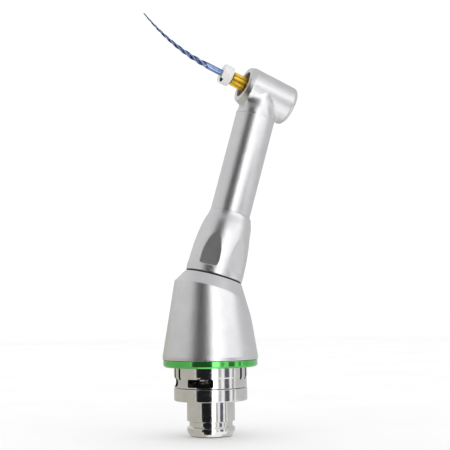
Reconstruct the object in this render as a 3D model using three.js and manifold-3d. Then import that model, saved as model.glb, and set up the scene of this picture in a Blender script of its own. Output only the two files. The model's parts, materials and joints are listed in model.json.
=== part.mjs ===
// Contra-angle handpiece: a reduction drive in a bent housing, with a push-button chuck and a rotary file.
// Row frame: +Z runs up the coupling axis, +X is the side the file points to, and z = 0 is the underside
// of the seat flange. All lengths are in millimetres.

import * as THREE from 'three';
import { mergeVertices } from 'three/addons/utils/BufferGeometryUtils.js';
import Module from 'manifold-3d';

const wasm = await Module();
wasm.setup();

// ---------------------------------------------------------------------------------------------
// Driving dimensions
// ---------------------------------------------------------------------------------------------

const DEG = Math.PI / 180;

const BEND_HEIGHT = 22.5; // height of the point where the neck axis leaves the coupling axis
const BEND_DEG = 16.25; // lean of the neck axis away from the file side
const NECK_LENGTH = 44.8; // bend point to the centre of the head
const HEAD_LIFT_DEG = 7; // the file axis rises this much from square to the neck

const SPIGOT_R = 5; // motor spigot
const SPIGOT_BORE_R = 4;
const SPIGOT_LENGTH = 7.2;
const FLANGE_R = 7.66;
const FLANGE_HEIGHT = 2.65;
const SLEEVE_R = 7.65;
const SLEEVE_BORE_R = 6.75;
const SLEEVE_TOP = 10.4;
const RING_R = 9.87; // colour ring
const RING_TOP = 8.5;
const RING_HEIGHT = 1.5;

const CONE_R = 10; // housing cone at its foot
const CONE_BAND = 0.7; // straight band above the colour ring
const CONE_SLOPE = 0.167; // radius lost per millimetre of height
const CONE_BORE_R = 7.2;
const SEAM_T = 3.25; // seam between cone and grip, measured up the neck axis from the bend point
const SEAM_R = 6.09;
const SEAM_CHAMFER_DEG = 31;

const GRIP_TOP_T = 17.2;
const GRIP_BORE_R = 4;
const FLAT_COUNT = 6; // finger flats round the grip
const FLAT_FIRST_AZIMUTH = 53; // about the neck axis, from the file side
const FLAT_BOTTOM_T = 4.9;
const FLAT_TOP_T = 11.8;
const FLAT_BOTTOM_R = 5.77; // distance of the flat from the neck axis at its two ends
const FLAT_TOP_R = 5.56;

const NECK_R = 4.27;
const NECK_FOOT_R = 3.85; // the stretch of neck tube that is held in the grip
const NECK_BORE_R = 3.4;

const HEAD_R = 4.3;
const HEAD_FRONT = 4.6; // along the file axis from the head's centre
const HEAD_BACK = -6.2;
const HEAD_BORE_R = 3.5;
const HEAD_CHAMFER = 0.35;
const FRONT_SEAT_R = 2.85;
const SHIELD_FRONT = 4; // the bearing shield lies back from the front of the head
const SPINDLE_R = 1.7;
const SPINDLE_BORE_R = 1.22;
const SPINDLE_NOSE = 4.25;
const SPINDLE_TAIL = -4.9;
const BUTTON_R = 3.05;
const BUTTON_CROWN = -7.25;

const SHANK_R = 1.175; // 2.35 mm latch-type shank
const SHANK_TAIL = -5;
const HANDLE_R = 1.55;
const HANDLE_BACK = 4.45;
const HANDLE_FRONT = 7.5;
const STOPPER_R = 2.2;
const STOPPER_BACK = 7.85;
const STOPPER_FRONT = 10.05;
const BLADE_R = 0.7;
const BLADE_TIP_R = 0.15;
const BLADE_BACK = 5.75;
const BLADE_TIP = 30.6;
const BLADE_TAPER_START = 13;
const BLADE_CURVE_START = 14;
const BLADE_CURVE = 0.0141; // sideways bend of the blade per square millimetre past its straight part

const SHAFT_R = 1.25; // input shaft
const NECK_SHAFT_R = 1.2;
const CARRIER_SHAFT_R = 1.5;
const RUNNING_GAP = 0.08; // radial gap of every bore on its shaft

const GEAR_MODULE = 0.3; // planetary stage
const SUN_TEETH = 12;
const PLANET_TEETH = 12;
const RING_TEETH = SUN_TEETH + 2 * PLANET_TEETH;
const PLANET_COUNT = 3;
const STAGE_BOTTOM = 11.5;
const STAGE_TOP = 14.5;

const BEND_TEETH = 16;
const PINION_TEETH = 9;
const CROWN_TEETH = 14;

// ---------------------------------------------------------------------------------------------
// Solids
// ---------------------------------------------------------------------------------------------

function solidOf(geometry) {
  geometry.deleteAttribute('normal');
  geometry.deleteAttribute('uv');
  const merged = mergeVertices(geometry, 1e-5);
  const triVerts = [];
  const index = merged.index.array;
  for (let i = 0; i < index.length; i += 3) {
    const [a, b, c] = [index[i], index[i + 1], index[i + 2]];
    if (a !== b && b !== c && c !== a) triVerts.push(a, b, c);
  }
  return new wasm.Manifold(new wasm.Mesh({
    numProp: 3,
    vertProperties: new Float32Array(merged.attributes.position.array),
    triVerts: new Uint32Array(triVerts),
  }));
}

const PLAIN = 16; // sides of small and inner round pieces
const MEDIUM = 24;
const FINE = 36; // sides of the outer shells

// Turns a profile of [radius, height] points about Z. A profile that doesn't touch the axis is a ring.
function turned(profile, segments = PLAIN) {
  const points = profile.map(([r, z]) => new THREE.Vector2(r, z));
  const area = points.reduce((sum, p, i) => sum + p.cross(points[(i + 1) % points.length]), 0);
  if (area < 0) points.reverse();
  const closed = points.some((p) => p.x === 0) ? startOnAxis(points) : [...points, points[0]];
  return solidOf(new THREE.LatheGeometry(closed, segments).rotateX(Math.PI / 2));
}

// Rolls a profile's points round so that it starts and ends on the axis.
function startOnAxis(points) {
  const count = points.length;
  const first = points.findIndex((p, i) => p.x === 0 && points[(i + count - 1) % count].x === 0);
  return points.map((_, i) => points[(first + i) % count]);
}

function ring(inner, outer, bottom, top, segments = PLAIN) {
  return turned([[inner, bottom], [outer, bottom], [outer, top], [inner, top]], segments);
}

function rod(radius, bottom, top, segments = PLAIN) {
  return turned([[0, bottom], [radius, bottom], [radius, top], [0, top]], segments);
}

function block(x, y, z, centre, azimuth = 0) {
  const box = new THREE.BoxGeometry(x, y, z);
  box.translate(...centre).rotateZ(azimuth);
  return solidOf(box);
}

function moved(solid, matrix) {
  return solid.transform(matrix.elements);
}

function minus(solid, ...cutters) {
  return cutters.reduce((rest, cutter) => rest.subtract(cutter), solid);
}

function plus(solid, ...others) {
  return others.reduce((sum, other) => sum.add(other), solid);
}

function geometryOf(solid) {
  const mesh = solid.getMesh();
  const geometry = new THREE.BufferGeometry();
  geometry.setAttribute('position', new THREE.BufferAttribute(new Float32Array(mesh.vertProperties), 3));
  geometry.setIndex(new THREE.BufferAttribute(new Uint32Array(mesh.triVerts), 1));
  geometry.computeVertexNormals();
  return geometry;
}

// ---------------------------------------------------------------------------------------------
// Places: each axis of the handpiece is a group with its own +Z
// ---------------------------------------------------------------------------------------------

const handpiece = new THREE.Group();

const neckAxis = new THREE.Group();
neckAxis.position.z = BEND_HEIGHT;
neckAxis.rotation.y = -BEND_DEG * DEG;
handpiece.add(neckAxis);

const headAxis = new THREE.Group(); // +Z is the file axis, +X points down the neck
headAxis.position.z = NECK_LENGTH;
headAxis.rotation.y = (90 - HEAD_LIFT_DEG) * DEG;
neckAxis.add(headAxis);

headAxis.updateMatrix();
neckAxis.updateMatrix();
const headInNeck = headAxis.matrix.clone();
const neckInRow = neckAxis.matrix.clone();

const STEEL = [0xb9bcc0, 0.22, 1];
const SATIN = [0xc8c9cb, 0.38, 0.9];
const GEAR_STEEL = [0x8f9296, 0.35, 1];
const BEARING_STEEL = [0xc2c4c6, 0.15, 1];
const BRONZE = [0xa9793f, 0.4, 1];
const ANODISED_GREEN = [0x3fae49, 0.25, 0.8];
const BLACK_RUBBER = [0x17181a, 0.8, 0];
const YELLOW = [0xe6b71e, 0.35, 0.2];
const BLUE_STEEL = [0x4a6ea3, 0.3, 0.9];
const WHITE_SILICONE = [0xf2f2ee, 0.55, 0];
const BLACK_INK = [0x111111, 0.7, 0];

function place(parent, name, solid, [color, roughness, metalness]) {
  const material = new THREE.MeshStandardMaterial({ color, roughness, metalness });
  const mesh = new THREE.Mesh(geometryOf(solid), material);
  mesh.name = name;
  parent.add(mesh);
  return mesh;
}

// ---------------------------------------------------------------------------------------------
// Bearings
// ---------------------------------------------------------------------------------------------

// Two races, and a thin cage with the balls that run between them with a little clearance.
function ballBearing(parent, name, { bore, outer, bottom, top, balls }) {
  const wall = (outer - bore) * 0.3;
  const pitchR = (outer + bore) / 2;
  const ballR = (outer - bore) * 0.2 - 0.05;
  const middle = (bottom + top) / 2;
  const cageHalf = ballR * 0.3;
  let cage = ring(pitchR - cageHalf, pitchR + cageHalf, middle - cageHalf, middle + cageHalf, balls * 2);
  for (let i = 0; i < balls; i += 1) {
    const angle = (i / balls) * 2 * Math.PI;
    const ball = new THREE.OctahedronGeometry(ballR, 1).rotateZ(angle);
    cage = cage.add(solidOf(ball.translate(pitchR * Math.cos(angle), pitchR * Math.sin(angle), middle)));
  }
  place(parent, `${name}_inner_race`, ring(bore, bore + wall, bottom, top), BEARING_STEEL);
  place(parent, `${name}_ball_cage`, cage, BRONZE);
  place(parent, `${name}_outer_race`, ring(outer - wall, outer, bottom, top), BEARING_STEEL);
}

// ---------------------------------------------------------------------------------------------
// Gears
// ---------------------------------------------------------------------------------------------

const TOOTH_SLOPE = Math.tan(20 * DEG);

// Corners of a toothed outline: each tooth stands on the root circle and narrows to the tip circle.
function toothedOutline(teeth, rootR, tipR, rootHalf, tipHalf, phase) {
  const corners = [];
  for (let i = 0; i < teeth; i += 1) {
    const centre = (i / teeth) * 2 * Math.PI + phase;
    corners.push([rootR, centre - rootHalf], [tipR, centre - tipHalf]);
    corners.push([tipR, centre + tipHalf], [rootR, centre + rootHalf]);
  }
  return corners.map(([r, angle]) => new THREE.Vector2(r * Math.cos(angle), r * Math.sin(angle)));
}

function circlePath(radius, points) {
  const path = new THREE.Path();
  for (let i = 0; i < points; i += 1) {
    const angle = (i / points) * 2 * Math.PI;
    path[i === 0 ? 'moveTo' : 'lineTo'](radius * Math.cos(angle), radius * Math.sin(angle));
  }
  path.closePath();
  return path;
}

const ADDENDUM = 0.24;
const DEDENDUM = 0.36;
const HALF_TOOTH = 0.18; // half a tooth's thickness on the pitch circle, thin enough to leave backlash

function spurGear(teeth, bore, bottom, top, phase) {
  const pitchR = (teeth * GEAR_MODULE) / 2;
  const tipR = pitchR + ADDENDUM;
  const rootR = pitchR - DEDENDUM;
  const tipHalf = (HALF_TOOTH - ADDENDUM * TOOTH_SLOPE) / tipR;
  const rootHalf = (HALF_TOOTH + DEDENDUM * TOOTH_SLOPE) / rootR;
  const shape = new THREE.Shape(toothedOutline(teeth, rootR, tipR, rootHalf, tipHalf, phase));
  shape.holes.push(circlePath(bore, PLAIN));
  const gear = new THREE.ExtrudeGeometry(shape, { depth: top - bottom, bevelEnabled: false });
  return solidOf(gear.translate(0, 0, bottom));
}

// The outline of the hole is cut by tooth spaces, and one of them faces each planet.
function internalGear(teeth, outer, bottom, top) {
  const pitchR = (teeth * GEAR_MODULE) / 2;
  const halfSpace = (Math.PI * GEAR_MODULE) / 2 - HALF_TOOTH;
  const tipR = pitchR - ADDENDUM;
  const rootR = pitchR + DEDENDUM;
  const mouthHalf = (halfSpace + ADDENDUM * TOOTH_SLOPE) / tipR;
  const floorHalf = (halfSpace - DEDENDUM * TOOTH_SLOPE) / rootR;
  const shape = new THREE.Shape(circlePath(outer, MEDIUM).getPoints());
  shape.holes.push(new THREE.Path(toothedOutline(teeth, tipR, rootR, mouthHalf, floorHalf, 0)));
  const gear = new THREE.ExtrudeGeometry(shape, { depth: top - bottom, bevelEnabled: false });
  return solidOf(gear.translate(0, 0, bottom));
}

// A straight bevel gear whose pitch cone has its apex at the origin and opens along +Z. The teeth lie
// between two distances from the apex, and every tooth line runs through the apex.
function bevelGear({ teeth, coneDeg, near, far, tooth, addendum, dedendum, bore, back, phase }) {
  const slope = Math.tan(22 * DEG);
  const tipCone = coneDeg * DEG + addendum / far;
  const rootCone = coneDeg * DEG - dedendum / far;
  const tipHalf = (tooth / 2 - addendum * slope) / (far * Math.sin(tipCone));
  const rootHalf = (tooth / 2 + dedendum * slope) / (far * Math.sin(rootCone));
  const hub = near * Math.cos(rootCone);
  const profile = [[bore, hub], [near, near], [far, far], [far * Math.sin(rootCone) * 0.9, back], [bore, back]];
  const points = [...profile, profile[0]].map(([r, z]) => new THREE.Vector2(r, z));
  const gear = new THREE.LatheGeometry(points, 4 * teeth);
  const position = gear.attributes.position;
  const rows = points.length;
  for (let i = 0; i < position.count; i += 1) {
    const column = Math.floor(i / rows) % (4 * teeth);
    const row = i % rows;
    const corner = column % 4;
    const onTip = corner === 1 || corner === 2;
    const half = (onTip ? tipHalf : rootHalf) * (corner < 2 ? -1 : 1);
    const angle = (Math.floor(column / 4) / teeth) * 2 * Math.PI + half + phase;
    const cone = onTip ? tipCone : rootCone;
    const toothRow = row === 1 || row === 2;
    const reach = row === 2 ? far : near;
    const r = toothRow ? reach * Math.sin(cone) : points[row].x;
    const z = toothRow ? reach * Math.cos(cone) : points[row].y;
    position.setXYZ(i, r * Math.cos(angle), r * Math.sin(angle), z);
  }
  return solidOf(gear);
}

const flipped = new THREE.Matrix4().makeRotationY(Math.PI);

// ---------------------------------------------------------------------------------------------
// Coupling: fixed to the motor
// ---------------------------------------------------------------------------------------------

function buildCoupling() {
  const grooveBottom = -5.2;
  const grooveTop = -4.35;
  const spigot = turned([
    [SPIGOT_BORE_R, -SPIGOT_LENGTH + 0.2], [SPIGOT_BORE_R + 0.2, -SPIGOT_LENGTH],
    [SPIGOT_R - 0.6, -SPIGOT_LENGTH], [SPIGOT_R - 0.2, -6.7], [SPIGOT_R, -6.1],
    [SPIGOT_R, -5.6], [SPIGOT_R - 0.5, grooveBottom], [SPIGOT_R - 0.5, grooveTop],
    [SPIGOT_R, grooveTop + 0.2], [SPIGOT_R, -0.05], [SPIGOT_R - 0.1, 0],
    [SPIGOT_R - 0.1, 3.6], [SPIGOT_BORE_R, 3.6],
  ], MEDIUM);
  place(handpiece, 'coupling_spigot', spigot, STEEL);

  const flange = turned([
    [SPIGOT_R, 0], [FLANGE_R - 0.3, 0], [FLANGE_R, 0.35], [FLANGE_R, FLANGE_HEIGHT - 0.12],
    [FLANGE_R - 0.12, FLANGE_HEIGHT], [SPIGOT_R, FLANGE_HEIGHT],
  ], MEDIUM);
  place(handpiece, 'seat_flange', flange, STEEL);

  const snapGroove = [9.6, 10.05];
  const sleeve = turned([
    [SLEEVE_BORE_R, 2.75], [SLEEVE_R - 0.1, 2.75], [SLEEVE_R, 2.85], [SLEEVE_R, 5.7],
    [SLEEVE_R - 0.06, 5.76], [SLEEVE_R - 0.06, snapGroove[0]], [SLEEVE_R - 0.45, snapGroove[0]],
    [SLEEVE_R - 0.45, snapGroove[1]], [SLEEVE_R - 0.06, snapGroove[1]], [SLEEVE_R - 0.06, SLEEVE_TOP],
    [SLEEVE_BORE_R, SLEEVE_TOP],
  ], MEDIUM);
  const windows = [53, -14, 233].map((azimuth) => {
    const width = 2 * SLEEVE_R * Math.sin(21 * DEG);
    return block(2, width, 1.75, [SLEEVE_R - 0.5, 0, 3.875], azimuth * DEG);
  });
  const slits = [5, 133, 249].flatMap((azimuth) => [-8, 8].map((side) => (
    block(2, 0.65, 4.5, [SLEEVE_R - 0.5, 0, 6.7], (azimuth + side) * DEG)
  )));
  place(handpiece, 'coupling_sleeve', minus(sleeve, ...windows, ...slits), STEEL);

  const gap = block(3, 1.6, 2, [SLEEVE_R, 0, 9.8]);
  const snapRing = ring(SLEEVE_R - 0.4, SLEEVE_R + 0.55, snapGroove[0] + 0.05, snapGroove[1] - 0.05, MEDIUM);
  place(handpiece, 'sleeve_snap_ring', snapRing.subtract(gap), GEAR_STEEL);

  place(handpiece, 'bearing_plate', ring(3.2, SLEEVE_BORE_R - 0.1, 7.8, 9.4), SATIN);
  place(handpiece, 'input_bush', ring(SHAFT_R + RUNNING_GAP, 3.1, 7.8, 9.8), BRONZE);
}

// ---------------------------------------------------------------------------------------------
// Input shaft and planetary stage
// ---------------------------------------------------------------------------------------------

function buildInput() {
  const dogFace = -2.9;
  const slot = block(1.2, 6, 1, [0, 0, dogFace + 0.4]);
  const dog = ring(SHAFT_R + RUNNING_GAP, 2.2, dogFace, -0.8);
  place(handpiece, 'drive_dog', dog.subtract(slot), GEAR_STEEL);

  const neckR = 0.9;
  const shaft = turned([
    [0, -1.9], [SHAFT_R, -1.9], [SHAFT_R, STAGE_BOTTOM - 0.5], [neckR, STAGE_BOTTOM - 0.5],
    [neckR, STAGE_TOP], [0, STAGE_TOP],
  ]);
  place(handpiece, 'input_shaft', shaft, GEAR_STEEL);

  ballBearing(handpiece, 'input_bearing', {
    bore: SHAFT_R + RUNNING_GAP, outer: SPIGOT_BORE_R - 0.1, bottom: 0.3, top: 2.3, balls: 8,
  });

  const sunPhase = Math.PI / SUN_TEETH; // a tooth space faces each planet
  place(handpiece, 'sun_gear',
    spurGear(SUN_TEETH, neckR + RUNNING_GAP, STAGE_BOTTOM, STAGE_TOP, sunPhase), GEAR_STEEL);
}

function buildPlanetStage() {
  const centreR = ((SUN_TEETH + PLANET_TEETH) * GEAR_MODULE) / 2;
  const ringGear = internalGear(RING_TEETH, CONE_BORE_R - 0.1, STAGE_BOTTOM - 0.4, STAGE_TOP + 0.1);
  place(handpiece, 'ring_gear', ringGear, GEAR_STEEL);

  const pinR = 0.65;
  const plateBottom = STAGE_TOP + 0.3;
  const plateTop = plateBottom + 1.3;
  const pins = [];
  for (let i = 0; i < PLANET_COUNT; i += 1) {
    const angle = (i / PLANET_COUNT) * 2 * Math.PI;
    const planet = place(handpiece, `planet_gear_${i + 1}`,
      spurGear(PLANET_TEETH, pinR + RUNNING_GAP, STAGE_BOTTOM + 0.1, STAGE_TOP - 0.1, 0), GEAR_STEEL);
    planet.position.set(centreR * Math.cos(angle), centreR * Math.sin(angle), 0);
    planet.rotation.z = angle;
    const pin = rod(pinR, STAGE_BOTTOM, plateBottom + 0.2);
    pins.push(pin.translate(centreR * Math.cos(angle), centreR * Math.sin(angle), 0));
  }
  const plate = turned([
    [0, plateBottom], [4.9, plateBottom], [4.9, plateTop], [CARRIER_SHAFT_R, plateTop],
    [CARRIER_SHAFT_R, 20.3], [0.95, 20.3], [0.95, BEND_HEIGHT - 0.8], [0, BEND_HEIGHT - 0.8],
  ]);
  place(handpiece, 'planet_carrier', plus(plate, ...pins), GEAR_STEEL);

  ballBearing(handpiece, 'carrier_bearing', {
    bore: CARRIER_SHAFT_R + RUNNING_GAP, outer: 4.2, bottom: 17, top: 19, balls: 8,
  });
  place(handpiece, 'bearing_holder', ring(4.3, CONE_BORE_R - 0.1, 16.8, 19.3, MEDIUM), SATIN);
}

// ---------------------------------------------------------------------------------------------
// Bend gears and neck shaft
// ---------------------------------------------------------------------------------------------

function buildNeckDrive() {
  const bend = {
    teeth: BEND_TEETH, coneDeg: (180 - BEND_DEG) / 2, near: 1.75, far: 3.2, tooth: 0.48,
    addendum: 0.26, dedendum: 0.4, bore: 0.95 + RUNNING_GAP, back: 2.1,
  };
  const lower = moved(bevelGear({ ...bend, phase: 0 }), flipped);
  place(handpiece, 'bend_drive_gear', lower.translate(0, 0, BEND_HEIGHT), GEAR_STEEL);
  place(neckAxis, 'bend_driven_gear', bevelGear({ ...bend, phase: Math.PI / BEND_TEETH }), GEAR_STEEL);

  const pinionTip = NECK_LENGTH - 2.35;
  const shoulder = NECK_LENGTH - 3.9;
  const shaft = turned([
    [0, 0.8], [0.95, 0.8], [0.95, 2.3], [NECK_SHAFT_R, 2.3], [NECK_SHAFT_R, shoulder],
    [0.55, shoulder], [0.55, pinionTip], [0, pinionTip],
  ]);
  place(neckAxis, 'neck_shaft', shaft, GEAR_STEEL);

  const { pinionCone } = headCones();
  const pinion = bevelGear({
    teeth: PINION_TEETH, coneDeg: pinionCone, near: 2.46, far: 3.66, tooth: 0.54, addendum: 0.28,
    dedendum: 0.42, bore: 0.55 + RUNNING_GAP, back: 3.8, phase: 0,
  });
  place(neckAxis, 'neck_pinion', moved(pinion, flipped).translate(0, 0, NECK_LENGTH), GEAR_STEEL);

  ballBearing(neckAxis, 'neck_bearing', {
    bore: NECK_SHAFT_R + RUNNING_GAP, outer: NECK_BORE_R - 0.1, bottom: 38.4, top: 40.4, balls: 7,
  });
  place(neckAxis, 'neck_bush', ring(NECK_SHAFT_R + RUNNING_GAP, NECK_BORE_R - 0.1, 4.9, 7.4), BRONZE);
}

// Pitch-cone angles of the head gears, whose axes meet at the centre of the head.
function headCones() {
  const axes = (90 - HEAD_LIFT_DEG) * DEG;
  const ratio = CROWN_TEETH / PINION_TEETH;
  const pinionCone = Math.atan2(Math.sin(axes), ratio + Math.cos(axes)) / DEG;
  return { pinionCone, crownCone: axes / DEG - pinionCone };
}

// ---------------------------------------------------------------------------------------------
// Housing
// ---------------------------------------------------------------------------------------------

function coneRadius(z) {
  return CONE_R - CONE_SLOPE * Math.max(0, z - RING_TOP - CONE_BAND);
}

function buildCone() {
  const foot = RING_TOP + 0.02;
  const bandTop = RING_TOP + CONE_BAND;
  const tip = BEND_HEIGHT + 8;
  const cone = turned([
    [0, foot], [CONE_R - 0.05, foot], [CONE_R, foot + 0.15], [CONE_R, bandTop],
    [coneRadius(tip), tip], [0, tip],
  ], FINE);
  const topT = SEAM_T - 0.2;
  const depth = 40;
  const spread = Math.tan(SEAM_CHAMFER_DEG * DEG);
  const trim = turned([
    [0, -depth], [SEAM_R + depth * spread, -depth], [SEAM_R + (SEAM_T - topT) * spread, topT], [0, topT],
  ], FINE);
  const neckBore = rod(4.4, -1.2, SEAM_T + 1);
  const body = minus(
    cone.intersect(moved(trim, neckInRow)),
    rod(8.6, foot - 1, SLEEVE_TOP + 0.2, MEDIUM),
    rod(CONE_BORE_R, SLEEVE_TOP, 19.4, MEDIUM),
    rod(4.6, 19, BEND_HEIGHT),
    moved(neckBore, neckInRow),
  );
  place(handpiece, 'cone_body', body, SATIN);

  place(handpiece, 'swivel_bush', ring(SLEEVE_R + 0.1, 8.5, RING_TOP + 0.1, 9.55, MEDIUM), BRONZE);

  const ringBottom = RING_TOP - RING_HEIGHT;
  const colourRing = turned([
    [SLEEVE_R + 0.25, ringBottom], [RING_R - 0.35, ringBottom], [RING_R, ringBottom + 0.35],
    [RING_R, RING_TOP - 0.04], [SLEEVE_R + 0.25, RING_TOP - 0.04],
  ], FINE);
  place(handpiece, 'colour_ring', colourRing, ANODISED_GREEN);
}

function buildGrip() {
  place(neckAxis, 'seam_o_ring', ring(4.9, SEAM_R - 0.15, SEAM_T - 0.13, SEAM_T + 0.13, MEDIUM), BLACK_RUBBER);

  const foot = SEAM_T + 0.2;
  const outline = [
    [SEAM_R - 0.05, foot], [SEAM_R, SEAM_T + 1], [SEAM_R, SEAM_T + 3], [6.02, SEAM_T + 4.6],
    [5.86, SEAM_T + 6.3], [5.6, SEAM_T + 8.4], [5.25, SEAM_T + 10.5], [4.9, SEAM_T + 11.9],
    [4.5, SEAM_T + 13.1], [NECK_R + 0.05, GRIP_TOP_T],
  ];
  const barrel = turned([[GRIP_BORE_R, foot], ...outline, [GRIP_BORE_R, GRIP_TOP_T]], 36);
  const tilt = Math.atan((FLAT_BOTTOM_R - FLAT_TOP_R) / (FLAT_TOP_T - FLAT_BOTTOM_T));
  const flats = [];
  for (let i = 0; i < FLAT_COUNT; i += 1) {
    const cutter = new THREE.BoxGeometry(3, 5, FLAT_TOP_T - FLAT_BOTTOM_T);
    cutter.translate(1.5, 0, (FLAT_TOP_T - FLAT_BOTTOM_T) / 2);
    cutter.rotateY(-tilt).translate(FLAT_BOTTOM_R, 0, FLAT_BOTTOM_T);
    cutter.rotateZ((FLAT_FIRST_AZIMUTH + (360 / FLAT_COUNT) * i) * DEG);
    flats.push(solidOf(cutter));
  }
  place(neckAxis, 'grip_sleeve', minus(barrel, ...flats), SATIN);
}

function buildNeckAndHead() {
  const neck = turned([
    [0, 4.3], [NECK_FOOT_R, 4.3], [NECK_FOOT_R, GRIP_TOP_T + 0.12], [NECK_R, GRIP_TOP_T + 0.12],
    [NECK_R, NECK_LENGTH], [0, NECK_LENGTH],
  ], 36);
  const head = turned([
    [0, HEAD_BACK], [HEAD_R, HEAD_BACK], [HEAD_R, HEAD_FRONT - HEAD_CHAMFER],
    [HEAD_R - HEAD_CHAMFER, HEAD_FRONT], [0, HEAD_FRONT],
  ], 36);
  const shell = minus(
    neck.add(moved(head, headInNeck)),
    rod(NECK_BORE_R, 4, NECK_LENGTH - 2, 20),
    moved(rod(HEAD_BORE_R, HEAD_BACK - 1, 1.75, 24), headInNeck),
    moved(rod(FRONT_SEAT_R, 1.5, HEAD_FRONT + 1, 24), headInNeck),
  );
  place(neckAxis, 'neck_head_shell', shell, SATIN);

  const seat = HEAD_BACK - 0.1;
  const lip = -5.3;
  const cap = turned([
    [BUTTON_R + 0.1, -6.95], [HEAD_R - 0.65, -6.95], [HEAD_R - 0.2, -6.65], [HEAD_R - 0.02, seat],
    [HEAD_BORE_R - 0.1, seat], [HEAD_BORE_R - 0.1, lip], [2.1, lip], [2.1, lip - 0.2],
    [BUTTON_R + 0.1, lip - 0.2],
  ], MEDIUM);
  place(headAxis, 'head_back_cap', cap, SATIN);

  const shield = ring(SPINDLE_R + 0.15, FRONT_SEAT_R - 0.1, SHIELD_FRONT - 0.15, SHIELD_FRONT, 24);
  place(headAxis, 'front_bearing_shield', shield, BRONZE);
}

// ---------------------------------------------------------------------------------------------
// Chuck and button
// ---------------------------------------------------------------------------------------------

function buildChuck() {
  const recess = -2.9;
  const spindle = turned([
    [SPINDLE_BORE_R, recess], [SPINDLE_BORE_R, SPINDLE_NOSE], [SPINDLE_R, SPINDLE_NOSE],
    [SPINDLE_R, SPINDLE_TAIL], [1.5, SPINDLE_TAIL], [1.5, recess],
  ]);
  place(headAxis, 'chuck_spindle', spindle, STEEL);

  const slots = [0, 120, 240].map((azimuth) => block(1, 0.3, 1.3, [1.4, 0, -4.3], azimuth * DEG));
  const collet = ring(SPINDLE_BORE_R + 0.02, 1.43, SPINDLE_TAIL + 0.05, recess - 0.1);
  place(headAxis, 'chuck_collet', minus(collet, ...slots), GEAR_STEEL);

  const keyed = rod(SPINDLE_BORE_R - 0.06, -2.7, -1.7).subtract(block(4, 4, 4, [-1.4, 0, -2]));
  place(headAxis, 'shank_drive_key', keyed, GEAR_STEEL);

  const { crownCone } = headCones();
  const crown = bevelGear({
    teeth: CROWN_TEETH, coneDeg: crownCone, near: 2.75, far: 3.66, tooth: 0.54, addendum: 0.28,
    dedendum: 0.42, bore: SPINDLE_R + RUNNING_GAP, back: 3.1, phase: Math.PI / CROWN_TEETH,
  });
  place(headAxis, 'crown_gear', moved(crown, flipped), GEAR_STEEL);

  ballBearing(headAxis, 'front_bearing', {
    bore: SPINDLE_R + RUNNING_GAP, outer: FRONT_SEAT_R - 0.1, bottom: 1.95, top: 3.75, balls: 8,
  });
  ballBearing(headAxis, 'rear_bearing', {
    bore: SPINDLE_R + RUNNING_GAP, outer: HEAD_BORE_R - 0.1, bottom: -4.8, top: -3.3, balls: 8,
  });
}

class SpringCurve extends THREE.Curve {
  constructor(radius, bottom, top, turns) {
    super();
    Object.assign(this, { radius, bottom, top, turns });
  }

  getPoint(t, target = new THREE.Vector3()) {
    const angle = t * this.turns * 2 * Math.PI;
    const height = this.bottom + (this.top - this.bottom) * t;
    return target.set(this.radius * Math.cos(angle), this.radius * Math.sin(angle), height);
  }
}

function buildButton() {
  const button = turned([
    [0, BUTTON_CROWN], [1.6, BUTTON_CROWN + 0.05], [2.6, BUTTON_CROWN + 0.2],
    [BUTTON_R, BUTTON_CROWN + 0.45], [BUTTON_R, -6.3], [1.2, -6.3], [1.2, -5.6], [0, -5.6],
  ], 24);
  place(headAxis, 'push_button', button, SATIN);

  const wire = new THREE.Shape(circlePath(0.12, 5).getPoints());
  const spring = new THREE.ExtrudeGeometry(wire, {
    steps: 30, bevelEnabled: false, extrudePath: new SpringCurve(2.55, -6.15, -5.65, 2.2),
  });
  place(headAxis, 'button_spring', solidOf(spring), GEAR_STEEL);
}

// ---------------------------------------------------------------------------------------------
// Rotary file
// ---------------------------------------------------------------------------------------------

function bladeRadius(h) {
  const along = Math.max(0, h - BLADE_TAPER_START) / (BLADE_TIP - BLADE_TAPER_START);
  return BLADE_R + (BLADE_TIP_R - BLADE_R) * along;
}

function bladeOffset(h) {
  return -BLADE_CURVE * Math.max(0, h - BLADE_CURVE_START) ** 2;
}

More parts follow.
